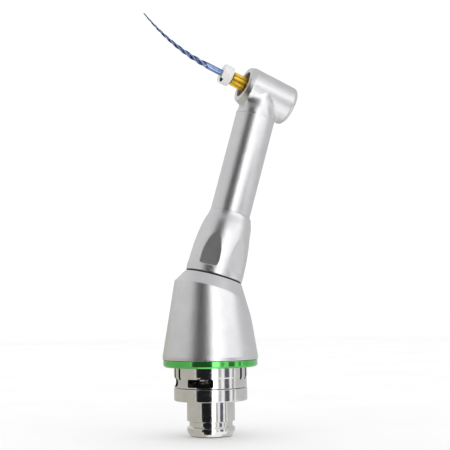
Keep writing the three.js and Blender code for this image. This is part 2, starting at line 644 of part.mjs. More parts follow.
function buildFile() {
  const tangR = 0.9;
  const shank = minus(
    turned([
      [0, SHANK_TAIL], [SHANK_R - 0.1, SHANK_TAIL], [SHANK_R, SHANK_TAIL + 0.1], [SHANK_R, -4.5],
      [0.92, -4.4], [0.92, -3.9], [SHANK_R, -3.8], [SHANK_R, HANDLE_BACK - 0.05],
      [tangR, HANDLE_BACK - 0.05], [tangR, BLADE_BACK - 0.1], [0, BLADE_BACK - 0.1],
    ]),
    block(2, 4, 4, [1.5, 0, -3.6]),
  );
  place(headAxis, 'file_shank', shank, STEEL);

  const ribs = toothedOutline(8, HANDLE_R - 0.28, HANDLE_R, 0.26, 0.15, 0);
  const grooved = new THREE.ExtrudeGeometry(new THREE.Shape(ribs), {
    depth: HANDLE_FRONT - HANDLE_BACK, bevelEnabled: false,
  });
  const handle = minus(
    solidOf(grooved.translate(0, 0, HANDLE_BACK)),
    rod(tangR + RUNNING_GAP, HANDLE_BACK - 1, BLADE_BACK - 0.05),
    rod(BLADE_R + RUNNING_GAP, BLADE_BACK - 0.5, HANDLE_FRONT + 1),
  );
  place(headAxis, 'file_handle', handle, YELLOW);

  // A straight cylinder whose rings are narrowed and moved aside onto the curved centre line.
  const length = BLADE_TIP - BLADE_BACK;
  const blade = new THREE.CylinderGeometry(1, 1, length, 10, 20).rotateX(Math.PI / 2);
  const position = blade.attributes.position;
  for (let i = 0; i < position.count; i += 1) {
    const h = position.getZ(i) + BLADE_BACK + length / 2;
    const r = bladeRadius(h);
    position.setXYZ(i, position.getX(i) * r + bladeOffset(h), position.getY(i) * r, h);
  }
  place(headAxis, 'file_blade', solidOf(blade), BLUE_STEEL);

  const markDepth = 0.5;
  const markInner = 1.3;
  const markOuter = STOPPER_R - 0.14;
  const stopper = turned([
    [BLADE_R + 0.06, STOPPER_BACK], [STOPPER_R - 0.15, STOPPER_BACK], [STOPPER_R, STOPPER_BACK + 0.15],
    [STOPPER_R, STOPPER_FRONT - 0.15], [STOPPER_R - 0.15, STOPPER_FRONT], [BLADE_R + 0.06, STOPPER_FRONT],
  ], 24);
  const markAzimuth = 32 * DEG;
  const pocket = block(1.2, 1, 1, [markInner + 0.6, 0, STOPPER_FRONT - markDepth + 0.5], markAzimuth);
  place(headAxis, 'stopper', stopper.subtract(pocket), WHITE_SILICONE);
  const mark = block(
    markOuter - markInner - 0.04, 0.92, markDepth - 0.03,
    [(markInner + 0.04 + markOuter) / 2, 0, STOPPER_FRONT - markDepth / 2], markAzimuth,
  );
  place(headAxis, 'stopper_mark', mark, BLACK_INK);
}

buildCoupling();
buildInput();
buildPlanetStage();
buildNeckDrive();
buildCone();
buildGrip();
buildNeckAndHead();
buildChuck();
buildButton();
buildFile();

export default handpiece;
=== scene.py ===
"""Looks of the contra angle handpiece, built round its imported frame. Dimensions are in millimetres."""

import json
import math

import bmesh
import bpy
import numpy as np
from mathutils import Matrix, Vector


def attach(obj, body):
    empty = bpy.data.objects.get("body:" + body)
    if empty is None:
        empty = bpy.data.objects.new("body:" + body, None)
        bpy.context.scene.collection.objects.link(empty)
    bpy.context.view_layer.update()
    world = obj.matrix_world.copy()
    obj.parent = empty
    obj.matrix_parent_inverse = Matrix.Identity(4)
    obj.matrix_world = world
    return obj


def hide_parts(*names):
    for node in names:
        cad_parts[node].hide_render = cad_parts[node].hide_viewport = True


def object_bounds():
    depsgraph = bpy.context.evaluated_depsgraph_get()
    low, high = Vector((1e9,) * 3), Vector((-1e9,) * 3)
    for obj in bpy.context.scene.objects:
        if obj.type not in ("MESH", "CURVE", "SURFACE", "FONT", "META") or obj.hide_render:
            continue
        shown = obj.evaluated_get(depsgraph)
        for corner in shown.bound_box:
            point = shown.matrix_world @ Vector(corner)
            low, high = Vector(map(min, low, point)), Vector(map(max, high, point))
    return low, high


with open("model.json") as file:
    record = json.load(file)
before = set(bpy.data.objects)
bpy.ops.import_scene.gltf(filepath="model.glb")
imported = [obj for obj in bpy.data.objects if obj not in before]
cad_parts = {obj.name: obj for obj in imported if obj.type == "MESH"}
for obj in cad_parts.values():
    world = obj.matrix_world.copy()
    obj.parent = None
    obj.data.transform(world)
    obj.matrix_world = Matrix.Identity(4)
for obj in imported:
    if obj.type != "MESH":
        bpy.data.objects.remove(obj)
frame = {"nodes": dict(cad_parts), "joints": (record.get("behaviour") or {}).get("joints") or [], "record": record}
cad_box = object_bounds()

MM = 0.001
DEG = math.pi / 180


# ---------------------------------------------------------------------------------------------
# Frames and dimensions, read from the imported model
# ---------------------------------------------------------------------------------------------


def axis_frame(joint_name):
    """The frame whose origin and Z axis are a hinge's, with Y kept across the handpiece."""
    joint = next(j for j in frame["joints"] if j["name"] == joint_name)
    z = Vector(joint["axis"]).normalized()
    y = Vector((0, 1, 0))
    matrix = Matrix((y.cross(z), y, z)).transposed().to_4x4()
    matrix.translation = Vector(joint["pos_m"])
    return matrix


ROW = Matrix.Identity(4)
NECK = axis_frame("neck_spin")
HEAD = axis_frame("chuck_spin")
NECK_LENGTH = (HEAD.translation - NECK.translation).length / MM
HEAD_IN_NECK = NECK.inverted() @ HEAD


def reach(node, matrix):
    """Lowest and highest point of a CAD node along a frame's Z axis, and its largest radius."""
    inverse = matrix.inverted()
    points = [inverse @ v.co / MM for v in frame["nodes"][node].data.vertices]
    heights = [p.z for p in points]
    return min(heights), max(heights), max(math.hypot(p.x, p.y) for p in points)


SPIGOT_FOOT, _, SPIGOT_R = reach("coupling_spigot", ROW)
_, FLANGE_TOP, FLANGE_R = reach("seat_flange", ROW)
SLEEVE_FOOT, SLEEVE_TOP, SLEEVE_R = reach("coupling_sleeve", ROW)
RING_FOOT, RING_TOP, RING_R = reach("colour_ring", ROW)
CONE_FOOT, _, CONE_R = reach("cone_body", ROW)
SEAL_FOOT, SEAL_TOP, SEAL_R = reach("seam_o_ring", NECK)
GRIP_FOOT, GRIP_TOP, _ = reach("grip_sleeve", NECK)
NECK_FOOT, _, _ = reach("neck_head_shell", NECK)
_, HEAD_FRONT, _ = reach("neck_head_shell", HEAD)
CAP_BACK, _, HEAD_R = reach("head_back_cap", HEAD)
BUTTON_BACK, BUTTON_STEM, BUTTON_R = reach("push_button", HEAD)
SPINDLE_TAIL, SPINDLE_NOSE, SPINDLE_R = reach("chuck_spindle", HEAD)
SHIELD_BACK, SHIELD_FRONT, SHIELD_R = reach("front_bearing_shield", HEAD)
SHANK_TAIL, SHANK_FRONT, SHANK_R = reach("file_shank", HEAD)
HANDLE_BACK, HANDLE_FRONT, HANDLE_R = reach("file_handle", HEAD)
STOPPER_BACK, STOPPER_FRONT, STOPPER_R = reach("stopper", HEAD)
BLADE_BACK, BLADE_TIP, _ = reach("file_blade", HEAD)
BODY_OF = {n: body for body, nodes in frame["record"]["behaviour"]["bodies"].items() for n in nodes}

RING_GAP = 0.04  # between the colour ring and the cone
SNAP_FOOT = 9.6  # groove of the snap ring in the coupling sleeve
SNAP_TOP = 10.05
WINDOW_HALF_ANGLE = 21 * DEG
LEFT_WINDOW = 233  # azimuth in degrees
WINDOWS = ((53, 0.3), (-14, 0.75), (LEFT_WINDOW, 0.3))  # azimuth, corner radius
TONGUES = (5, 133, 249)  # azimuths of the sprung tongues of the sleeve
TONGUE_HALF_ANGLE = 8

HEAD_R = HEAD_R + 0.02  # the back cap is a little narrower than the head
HEAD_BACK = -6.2
HEAD_BORE_R = 3.5
HEAD_NOSE = HEAD_FRONT - 1.15  # where the rounded front edge begins
FRONT_SEAT_R = 2.85
FRONT_SEAT = 1.75
SPINDLE_LIP = SPINDLE_NOSE - 0.7  # the part of the spindle that shows in the recess
CONE_BAND = RING_TOP + RING_GAP + 0.7  # top of the straight band above the colour ring
CONE_SLOPE = 0.167  # radius lost per millimetre of height
SEAM_T = 3.25  # seam of cone and grip, up the neck axis
SEAM_R = 6.09
SEAM_CHAMFER = math.tan(31 * DEG)
GRIP_OUTLINE = [  # height above the seam, radius
    (0.2, 6.04), (1, 6.09), (3, 6.09), (4.6, 6.02), (6.3, 5.86), (8.4, 5.6), (10.5, 5.25),
    (11.9, 4.9), (13.1, 4.5), (GRIP_TOP - SEAM_T, 4.32),
]
FLATS = 6
FLAT_AZIMUTH = 53 * DEG
FLAT_FOOT = 4.9
FLAT_TOP = 11.8
FLAT_FOOT_R = 5.76
FLAT_TOP_R = 5.56
NECK_R = 4.27
NECK_BORE_R = 3.4
STUB_FOOT = NECK_LENGTH - 5.85  # where the head casting's stub meets the neck tube
BLADE_R = 0.7
BLADE_TIP_R = 0.15
BLADE_TAPER_START = 13
BLADE_CURVE_START = 14
BLADE_CURVE = 0.0141
FLUTES = 3
MARK_AZIMUTH = 32 * DEG


# ---------------------------------------------------------------------------------------------
# Mesh building
# ---------------------------------------------------------------------------------------------


def finish_mesh(name, mesh, sharp=32):
    """Makes a smooth shaded object of a closed mesh."""
    bm = bmesh.new()
    bm.from_mesh(mesh)
    bmesh.ops.remove_doubles(bm, verts=bm.verts, dist=1e-8)
    bmesh.ops.recalc_face_normals(bm, faces=bm.faces)
    bm.to_mesh(mesh)
    bm.free()
    mesh.shade_smooth()
    mesh.set_sharp_from_angle(angle=sharp * DEG)
    piece = bpy.data.objects.new(name, mesh)
    bpy.context.scene.collection.objects.link(piece)
    return piece


def rounded(profile, steps=6):
    """Replaces each corner (r, z, radius) of a closed profile by an arc."""
    points = []
    count = len(profile)
    for i, corner in enumerate(profile):
        here = Vector(corner[:2])
        radius = corner[2] if len(corner) > 2 else 0
        before = Vector(profile[i - 1][:2]) - here
        after = Vector(profile[(i + 1) % count][:2]) - here
        if radius <= 0 or before.length < 1e-9 or after.length < 1e-9:
            points.append(here)
            continue
        points.extend(arc_corner(here, before, after, radius, steps))
    return points


def arc_corner(here, before, after, radius, steps):
    """Points of the arc that rounds a corner between two edges, in two or three dimensions."""
    a, b = before.normalized(), after.normalized()
    opening = math.acos(max(-1, min(1, a.dot(b))))
    if math.pi - opening < 0.02:
        return [here] * (steps + 1)
    inset = min(radius / math.tan(opening / 2), before.length * 0.49, after.length * 0.49)
    radius = inset * math.tan(opening / 2)
    centre = here + (a + b).normalized() * (radius / math.sin(opening / 2))
    start, end = here + a * inset - centre, here + b * inset - centre
    sweep = math.pi - opening
    arc = []
    for k in range(steps + 1):
        s = k / steps
        w0, w1 = math.sin((1 - s) * sweep), math.sin(s * sweep)
        arc.append(centre + (start * w0 + end * w1) / math.sin(sweep))
    return arc


def lathe(name, profile, matrix, segments=128, sharp=32):
    """A closed profile of (r, z, corner radius) turned about a frame's Z axis."""
    points = rounded(profile)
    vertices, rows = [], []
    for r, z in points:
        count = 1 if r < 1e-6 else segments
        rows.append(range(len(vertices), len(vertices) + count))
        for k in range(count):
            angle = 2 * math.pi * k / segments
            vertices.append(matrix @ (Vector((r * math.cos(angle), r * math.sin(angle), z)) * MM))
    faces = []
    for i, row in enumerate(rows):
        other = rows[(i + 1) % len(rows)]
        for k in range(segments):
            n = (k + 1) % segments
            if len(row) > 1 and len(other) > 1:
                faces.append((row[k], row[n], other[n], other[k]))
            elif len(row) > 1:
                faces.append((row[k], row[n], other[0]))
            elif len(other) > 1:
                faces.append((row[0], other[n], other[k]))
    mesh = bpy.data.meshes.new(name)
    mesh.from_pydata(vertices, [], faces)
    return finish_mesh(name, mesh, sharp)


def loft(name, rings, matrix, wrap=False, sharp=32):
    """Quads between rings of points. The last ring joins the first, or both ends are capped."""
    rings = np.asarray(rings, float)
    count, segments = rings.shape[:2]
    place = np.array(matrix)
    points = rings.reshape(-1, 3) * MM @ place[:3, :3].T + place[:3, 3]
    faces = []
    for i in range(count if wrap else count - 1):
        j = (i + 1) % count
        for k in range(segments):
            n = (k + 1) % segments
            faces.append((i * segments + k, i * segments + n, j * segments + n, j * segments + k))
    if not wrap:
        faces.append(tuple(range(segments)))
        faces.append(tuple((count - 1) * segments + k for k in range(segments)))
    mesh = bpy.data.meshes.new(name)
    mesh.from_pydata(points.tolist(), [], faces)
    return finish_mesh(name, mesh, sharp)


def ring_points(radii, heights, angles):
    """One ring of points, with a radius and a height for each angle."""
    radii, heights = np.broadcast_arrays(radii, heights, angles)[:2]
    return np.stack([radii * np.cos(angles), radii * np.sin(angles), heights], axis=1)


def rounded_block(name, size, corner, position, azimuth):
    """A cutter: a bar that points outward at an azimuth, its section a rounded rectangle."""
    depth, width, height = size
    corners = [(-1, -1), (1, -1), (1, 1), (-1, 1)]
    outline = rounded([(sx * width / 2, sz * height / 2, corner) for sx, sz in corners], 5)
    rings = []
    for x in (-depth / 2, depth / 2):
        rings.append([(x, y, z) for y, z in outline])
    turn = Matrix.Rotation(azimuth, 4, "Z") @ Matrix.Translation(Vector(position) * MM)
    return loft(name, rings, turn)


def cut(piece, cutters):
    """Takes the cutters away from a piece."""
    for cutter in cutters:
        modifier = piece.modifiers.new("cut", "BOOLEAN")
        modifier.operation = "DIFFERENCE"
        modifier.solver = "EXACT"
        modifier.object = cutter
    mesh = bpy.data.meshes.new_from_object(piece.evaluated_get(bpy.context.evaluated_depsgraph_get()))
    piece.modifiers.clear()
    piece.data = mesh
    mesh.shade_smooth()
    mesh.set_sharp_from_angle(angle=32 * DEG)
    for cutter in cutters:
        bpy.data.objects.remove(cutter)
    return piece


# ---------------------------------------------------------------------------------------------
# Materials
# ---------------------------------------------------------------------------------------------


class Finish:
    """A Principled material and the few texture nodes that all of the finishes share."""

    def __init__(self, name, metallic, roughness, **sockets):
        self.material = bpy.data.materials.new(name)
        self.material.use_nodes = True
        self.tree = self.material.node_tree
        self.shader = self.tree.nodes["Principled BSDF"]
        self.shader.inputs["Metallic"].default_value = metallic
        self.shader.inputs["Roughness"].default_value = roughness
        for socket, value in sockets.items():
            self.shader.inputs[socket.replace("_", " ")].default_value = value
        self.place = self.tree.nodes.new("ShaderNodeTexCoord").outputs["Object"]
        self.normal = None

    def noise(self, grain_mm, detail=2, stretch=(1, 1, 1)):
        """Noise with grains of a given size, squeezed or stretched along the axes."""
        mapping = self.tree.nodes.new("ShaderNodeMapping")
        mapping.inputs["Scale"].default_value = stretch
        texture = self.tree.nodes.new("ShaderNodeTexNoise")
        texture.inputs["Scale"].default_value = 1 / (grain_mm * MM)
        texture.inputs["Detail"].default_value = detail
        self.tree.links.new(self.place, mapping.inputs["Vector"])
        self.tree.links.new(mapping.outputs["Vector"], texture.inputs["Vector"])
        return texture.outputs["Fac"]

    def colour(self, value, dark, light):
        """Base colour that runs between two tones with a noise value."""
        ramp = self.tree.nodes.new("ShaderNodeValToRGB")
        ramp.color_ramp.elements[0].position = 0.3
        ramp.color_ramp.elements[0].color = (*dark, 1)
        ramp.color_ramp.elements[1].position = 0.7
        ramp.color_ramp.elements[1].color = (*light, 1)
        self.tree.links.new(value, ramp.inputs["Fac"])
        self.tree.links.new(ramp.outputs["Color"], self.shader.inputs["Base Color"])

    def roughen(self, value, low, high):
        """Roughness that runs between two values with a noise value."""
        spread = self.tree.nodes.new("ShaderNodeMapRange")
        spread.inputs["From Min"].default_value = 0.3
        spread.inputs["From Max"].default_value = 0.7
        spread.inputs["To Min"].default_value = low
        spread.inputs["To Max"].default_value = high
        self.tree.links.new(value, spread.inputs["Value"])
        self.tree.links.new(spread.outputs["Result"], self.shader.inputs["Roughness"])

    def bump(self, value, depth_um):
        """Relief of a given depth, added to any relief already there."""
        bump = self.tree.nodes.new("ShaderNodeBump")
        bump.inputs["Strength"].default_value = 1
        bump.inputs["Distance"].default_value = depth_um * 1e-6
        self.tree.links.new(value, bump.inputs["Height"])
        if self.normal:
            self.tree.links.new(self.normal, bump.inputs["Normal"])
        self.normal = bump.outputs["Normal"]
        self.tree.links.new(self.normal, self.shader.inputs["Normal"])


def satin_housing():
    finish = Finish("satin_housing", 1.0, 0.3)
    grain = finish.noise(0.22, 2)
    finish.colour(finish.noise(3.0, 3), (0.77, 0.77, 0.775), (0.83, 0.83, 0.83))
    finish.roughen(grain, 0.3, 0.4)
    finish.bump(grain, 26)
    return finish.material


def polished_steel():
    finish = Finish("polished_steel", 1.0, 0.12)
    turning = finish.noise(0.12, 2, (0.02, 0.02, 1))
    finish.colour(finish.noise(2.5, 3), (0.74, 0.73, 0.71), (0.82, 0.81, 0.79))
    finish.roughen(turning, 0.08, 0.17)
    finish.bump(turning, 0.8)
    return finish.material


def gear_steel():
    finish = Finish("gear_steel", 1.0, 0.3)
    scratches = finish.noise(0.1, 3, (1, 1, 0.15))
    finish.colour(finish.noise(0.8, 3), (0.4, 0.41, 0.43), (0.58, 0.59, 0.6))
    finish.roughen(scratches, 0.2, 0.42)
    finish.bump(scratches, 3)
    return finish.material


def bearing_steel():
    finish = Finish("bearing_steel", 1.0, 0.1)
    haze = finish.noise(0.6, 3)
    finish.colour(haze, (0.66, 0.67, 0.69), (0.78, 0.79, 0.8))
    finish.roughen(haze, 0.06, 0.14)
    finish.bump(finish.noise(0.08, 2), 0.5)
    return finish.material


def bronze():
    finish = Finish("bronze", 1.0, 0.35)
    turning = finish.noise(0.15, 3)
    finish.colour(finish.noise(0.7, 3), (0.28, 0.17, 0.07), (0.55, 0.37, 0.16))
    finish.roughen(turning, 0.26, 0.44)
    finish.bump(turning, 3)
    return finish.material


def amber_shade():
    """The plastic down in the grooves of the handle, where hardly any light gets in."""
    finish = Finish("amber_shade", 0.0, 0.5)
    grain = finish.noise(0.15, 3)
    finish.colour(grain, (0.36, 0.18, 0.015), (0.52, 0.28, 0.02))
    finish.roughen(grain, 0.4, 0.6)
    finish.bump(grain, 4)
    return finish.material


def painted_inside_shade():
    """Painted shade: near-black for the insides that show only through the windows and slits of the coupling."""
    finish = Finish("painted_inside_shade", 0.6, 0.5)
    grain = finish.noise(0.3, 3)
    finish.colour(grain, (0.006, 0.006, 0.007), (0.018, 0.017, 0.016))
    finish.roughen(grain, 0.4, 0.65)
    finish.bump(grain, 4)
    return finish.material


def dark_bronze():
    finish = Finish("dark_bronze", 1.0, 0.3)
    turning = finish.noise(0.12, 3)
    finish.colour(finish.noise(0.5, 3), (0.07, 0.045, 0.025), (0.24, 0.15, 0.06))
    finish.roughen(turning, 0.2, 0.4)
    finish.bump(turning, 4)
    return finish.material


def green_ring():
    finish = Finish("green_ring", 0.9, 0.12, Coat_Weight=0.6, Coat_Roughness=0.05)
    haze = finish.noise(0.2, 2)
    finish.colour(finish.noise(1.5, 3), (0.09, 0.56, 0.1), (0.14, 0.66, 0.15))
    finish.roughen(haze, 0.09, 0.16)
    finish.bump(haze, 1.5)
    return finish.material


def seal_rubber():
    finish = Finish("seal_rubber", 0.0, 0.7)
    grain = finish.noise(0.1, 3)
    finish.colour(grain, (0.008, 0.008, 0.009), (0.03, 0.03, 0.032))
    finish.roughen(grain, 0.6, 0.85)
    finish.bump(grain, 6)
    return finish.material


def gold_handle():
    finish = Finish("gold_handle", 0.35, 0.32, Coat_Weight=0.3, Coat_Roughness=0.15)
    grain = finish.noise(0.12, 3)
    finish.colour(finish.noise(0.5, 3), (0.82, 0.52, 0.02), (0.95, 0.68, 0.04))
    finish.roughen(grain, 0.24, 0.42)
    finish.bump(grain, 5)
    return finish.material


def blue_alloy():
    finish = Finish("blue_alloy", 1.0, 0.2)
    streaks = finish.noise(0.12, 3)
    finish.colour(finish.noise(0.9, 2), (0.18, 0.26, 0.47), (0.32, 0.42, 0.66))
    finish.roughen(streaks, 0.14, 0.28)
    finish.bump(streaks, 3)
    return finish.material


def painted_flute_shade():
    """Painted shade for the ground flutes of the blade: a darker blue on the valley faces, standing in for the
    shade that falls into the flutes.
    """
    finish = Finish("painted_flute_shade", 1.0, 0.3)
    streaks = finish.noise(0.12, 3)
    finish.colour(finish.noise(0.6, 2), (0.04, 0.06, 0.13), (0.12, 0.17, 0.32))
    finish.roughen(streaks, 0.22, 0.38)
    finish.bump(streaks, 3)
    return finish.material


def white_silicone():
    finish = Finish("white_silicone", 0.0, 0.5, Subsurface_Weight=0.2, Subsurface_Scale=0.0004)
    grain = finish.noise(0.2, 3)
    finish.colour(finish.noise(1.2, 2), (0.74, 0.74, 0.73), (0.82, 0.82, 0.81))
    finish.roughen(grain, 0.38, 0.55)
    finish.bump(grain, 4)
    return finish.material


def black_mark():
    finish = Finish("black_mark", 0.0, 0.5)
    grain = finish.noise(0.1, 2)
    finish.colour(grain, (0.006, 0.006, 0.007), (0.02, 0.02, 0.021))
    finish.roughen(grain, 0.4, 0.6)
    finish.bump(grain, 3)
    return finish.material


MATERIALS = {
    make.__name__: make()
    for make in (
        satin_housing, polished_steel, gear_steel, bearing_steel, bronze, green_ring, seal_rubber,
        gold_handle, blue_alloy, white_silicone, black_mark,
    )
}
SLOT_OF = {row["node"]: row["material_slot"] for row in frame["record"]["subparts"]}


def fit(piece, *nodes):
    """Gives a piece the finish and the body of the CAD nodes that it stands for."""
    slot = SLOT_OF[nodes[0]]
    piece.data.materials.clear()
    piece.data.materials.append(MATERIALS[slot])
    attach(piece, BODY_OF[nodes[0]])
    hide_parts(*nodes)
    return piece


def paint(piece, material, frame_of, chosen):
    """Gives a second finish to the faces whose centre, in mm in a frame, is chosen."""
    piece.data.materials.append(material)
    back = frame_of.inverted()
    for face in piece.data.polygons:
        centre = back @ face.center / MM
        if chosen(centre, math.hypot(centre.x, centre.y)):
            face.material_index = 1


# ---------------------------------------------------------------------------------------------
# Coupling
# ---------------------------------------------------------------------------------------------


def behind_left_window(centre):
    """The left window shows the bright body behind it, so the painted shade of the inside is left off there."""
    return math.cos(math.atan2(centre.y, centre.x) - LEFT_WINDOW * DEG) > 0.8


def coupling():
    bore = 4
    groove_foot, groove_top = -5.2, -4.35
    spigot = lathe("spigot", [
        (bore, SPIGOT_FOOT, 0.15), (SPIGOT_R - 0.6, SPIGOT_FOOT, 0.12), (SPIGOT_R - 0.22, -6.65, 0.3),
        (SPIGOT_R, -6.1, 0.08), (SPIGOT_R, -5.6, 0.1), (SPIGOT_R - 0.5, groove_foot, 0.08),
        (SPIGOT_R - 0.5, groove_top, 0.12), (SPIGOT_R, groove_top + 0.2, 0.08), (SPIGOT_R, -0.12, 0.05),
        (SPIGOT_R - 0.1, 0, 0.03), (SPIGOT_R - 0.1, 3.6), (bore, 3.6, 0.1),
    ], ROW)
    fit(spigot, "coupling_spigot")
    # Painted shade: the spigot above the flange, seen only through the windows, is made near-black.
    paint(spigot, painted_inside_shade(), ROW, lambda c, r: c.z > 0.05 and not behind_left_window(c))

    flange = lathe("flange", [
        (SPIGOT_R, 0), (FLANGE_R, 0, 0.3), (FLANGE_R, FLANGE_TOP, 0.12), (SPIGOT_R, FLANGE_TOP),
    ], ROW)
    fit(flange, "seat_flange")

    inner = SLEEVE_R - 0.06
    sleeve = lathe("sleeve", [
        (6.75, SLEEVE_FOOT), (inner, SLEEVE_FOOT, 0.1), (inner - 0.06, 4.82, 0.03), (SLEEVE_R, 5.05, 0.05),
        (SLEEVE_R, SNAP_FOOT), (SLEEVE_R - 0.45, SNAP_FOOT), (SLEEVE_R - 0.45, SNAP_TOP), (inner, SNAP_TOP),
        (inner, SLEEVE_TOP, 0.1), (6.75, SLEEVE_TOP),
    ], ROW)
    window = (2, 2 * SLEEVE_R * math.sin(WINDOW_HALF_ANGLE), 1.65)
    slit = (2, 0.65, 4.5)
    wall = SLEEVE_R - 0.5
    cutters = [
        rounded_block("window", window, corner, (wall, 0, 3.85), azimuth * DEG) for azimuth, corner in WINDOWS
    ]
    for azimuth in TONGUES:
        for side in (-TONGUE_HALF_ANGLE, TONGUE_HALF_ANGLE):
            cutters.append(rounded_block("slit", slit, 0.3, (wall, 0, 6.7), (azimuth + side) * DEG))
    fit(cut(sleeve, cutters), "coupling_sleeve")
    # Painted shade: the inner faces of the sleeve, seen through the windows and slits, are made near-black.
    paint(sleeve, painted_inside_shade(), ROW, lambda c, r: (
        r < inner - 0.4 and SLEEVE_FOOT < c.z < SLEEVE_TOP and not behind_left_window(c)))


# ---------------------------------------------------------------------------------------------
# Cone, colour ring and seal
# ---------------------------------------------------------------------------------------------


def cone_radius(z):
    return CONE_R - CONE_SLOPE * max(0, z - CONE_BAND)


def cone_corner(azimuth):
    """Height at which the cone meets the slanting chamfer round the seam, by halving."""
    inverse = NECK.inverted()

    def outside(z):
        r = cone_radius(z)
        p = inverse @ (Vector((r * math.cos(azimuth), r * math.sin(azimuth), z)) * MM) / MM
        return math.hypot(p.x, p.y) > SEAM_R + (SEAM_T - p.z) * SEAM_CHAMFER

    low, high = CONE_FOOT, CONE_FOOT + 30
    for _ in range(40):
        middle = (low + high) / 2
        low, high = (low, middle) if outside(middle) else (middle, high)
    return low


def neck_ring_point(r, t, azimuth):
    """A point of a circle round the neck axis, in the row frame."""
    p = Vector((r * math.cos(azimuth), r * math.sin(azimuth), t)) * MM
    return NECK @ p / MM


def cone_column(azimuth):
    """The outline of the cone in one half-plane, from the foot over the seam and back inside."""
    out = Vector((math.cos(azimuth), math.sin(azimuth), 0))
    z = cone_corner(azimuth)
    corner = out * cone_radius(z) + Vector((0, 0, z))
    local = NECK.inverted() @ (corner * MM)
    turn = math.atan2(local.y, local.x)
    top_t = SEAM_T - 0.15
    rim = neck_ring_point(SEAM_R + 0.15 * SEAM_CHAMFER, top_t, turn)
    lip = neck_ring_point(4.4, top_t, turn)

    def at(r, height):
        return out * r + Vector((0, 0, height))

    outline = [
        (at(8.6, CONE_FOOT), 0), (at(CONE_R, CONE_FOOT), 0.12), (at(CONE_R, CONE_BAND), 0.3), (corner, 0.3),
        (rim, 0.1), (lip, 0), (neck_ring_point(4.4, -0.8, turn), 0), (at(4.6, 19.4), 0),
        (at(7.2, 19.4), 0), (at(7.2, 10.4), 0), (at(8.6, 10.4), 0),
    ]
    points = []
    for i, (here, radius) in enumerate(outline):
        if radius:
            before = outline[i - 1][0] - here
            after = outline[i + 1][0] - here
            points.extend(arc_corner(here, before, after, radius, 6))
        else:
            points.append(here)
    return points


def cone():
    segments = 192
    columns = [cone_column(2 * math.pi * k / segments) for k in range(segments)]
    rings = np.array([[tuple(p) for p in column] for column in columns]).transpose(1, 0, 2)
    fit(loft("cone", rings, ROW, wrap=True), "cone_body")

    inner = SLEEVE_R + 0.25
    ring = lathe("colour_band", [
        (inner, RING_FOOT), (RING_R - 0.35, RING_FOOT, 0.1), (RING_R, RING_FOOT + 0.35, 0.15),
        (RING_R, RING_TOP, 0.12), (inner, RING_TOP),
    ], ROW, 192)
    fit(ring, "colour_ring")

    seal = lathe("seam_seal", [
        (4.9, SEAL_FOOT), (SEAL_R, SEAL_FOOT, 0.12), (SEAL_R, SEAL_TOP, 0.12), (4.9, SEAL_TOP),
    ], NECK)
    fit(seal, "seam_o_ring")


# ---------------------------------------------------------------------------------------------
# Grip
# ---------------------------------------------------------------------------------------------


def smooth_step(value, low, high):
    s = np.clip((value - low) / (high - low), 0, 1)
    return s * s * (3 - 2 * s)


def grip_outline(t):
    """Radius of the grip before the flats, a smooth curve through the outline's points."""
    heights = np.array([h + SEAM_T for h, _ in GRIP_OUTLINE])
    radii = np.array([r for _, r in GRIP_OUTLINE])
    slopes = np.gradient(radii, heights)
    k = int(np.clip(np.searchsorted(heights, t) - 1, 0, len(heights) - 2))
    span = heights[k + 1] - heights[k]
    s = (t - heights[k]) / span
    return (
        (1 + 2 * s) * (1 - s) ** 2 * radii[k] + s * (1 - s) ** 2 * span * slopes[k]
        + s * s * (3 - 2 * s) * radii[k + 1] + s * s * (s - 1) * span * slopes[k + 1]
    )


def grip_radius(t, angles):
    """Outer radius at one height: the outline, cut back to the finger flats."""
    outline = grip_outline(t)
    pitch = 2 * math.pi / FLATS
    off = (angles - FLAT_AZIMUTH + pitch / 2) % pitch - pitch / 2
    share = (t - FLAT_FOOT) / (FLAT_TOP - FLAT_FOOT)
    distance = FLAT_FOOT_R + (FLAT_TOP_R - FLAT_FOOT_R) * share
    flat = distance / np.cos(off)
    across = np.abs(distance * np.tan(off))
    half, corner = 1.95, 0.75
    lift = corner - np.sqrt(np.maximum(0, corner**2 - np.maximum(0, across - half + corner) ** 2))
    mask = smooth_step(t - lift, FLAT_FOOT - 0.06, FLAT_FOOT + 0.1)
    soft = 0.03
    depth = outline - flat
    depth = (depth + np.sqrt(depth**2 + soft**2) - soft * 0.6) / 2
    shoulder = 0.32 * np.maximum(0, -np.cos(angles)) * smooth_step(t, GRIP_TOP - 4.5, GRIP_TOP - 1.2)
    if t > GRIP_TOP - 0.5:
        shoulder = shoulder * max(0, 1 - ((t - GRIP_TOP + 0.5) / 0.5) ** 2) ** 0.5
    return outline + shoulder - np.maximum(0, depth) * mask


def grip():
    angles = np.linspace(0, 2 * math.pi, 360, endpoint=False)
    low, high = GRIP_FOOT + 0.1, GRIP_TOP
    heights = np.concatenate([
        np.linspace(low, FLAT_FOOT - 0.1, 10, endpoint=False),
        np.linspace(FLAT_FOOT - 0.1, FLAT_FOOT + 0.9, 30, endpoint=False),
        np.linspace(FLAT_FOOT + 0.9, FLAT_TOP + 0.4, 60, endpoint=False),
        np.linspace(FLAT_TOP + 0.4, high - 0.5, 14, endpoint=False),
        high - 0.5 * np.array([1, 0.8, 0.6, 0.45, 0.3, 0.2, 0.1, 0.04, 0]),
    ])
    rings = [ring_points(4, GRIP_FOOT, angles), ring_points(grip_outline(low) - 0.1, GRIP_FOOT, angles)]
    for lift, inset in ((0.015, 0.06), (0.05, 0.02)):
        rings.append(ring_points(grip_outline(low) - inset, GRIP_FOOT + lift, angles))
    rings.extend(ring_points(grip_radius(t, angles), t, angles) for t in heights)
    rings.append(ring_points(4, high, angles))
    fit(loft("grip", rings, NECK, wrap=True, sharp=40), "grip_sleeve")


# ---------------------------------------------------------------------------------------------
# Neck and head
# ---------------------------------------------------------------------------------------------


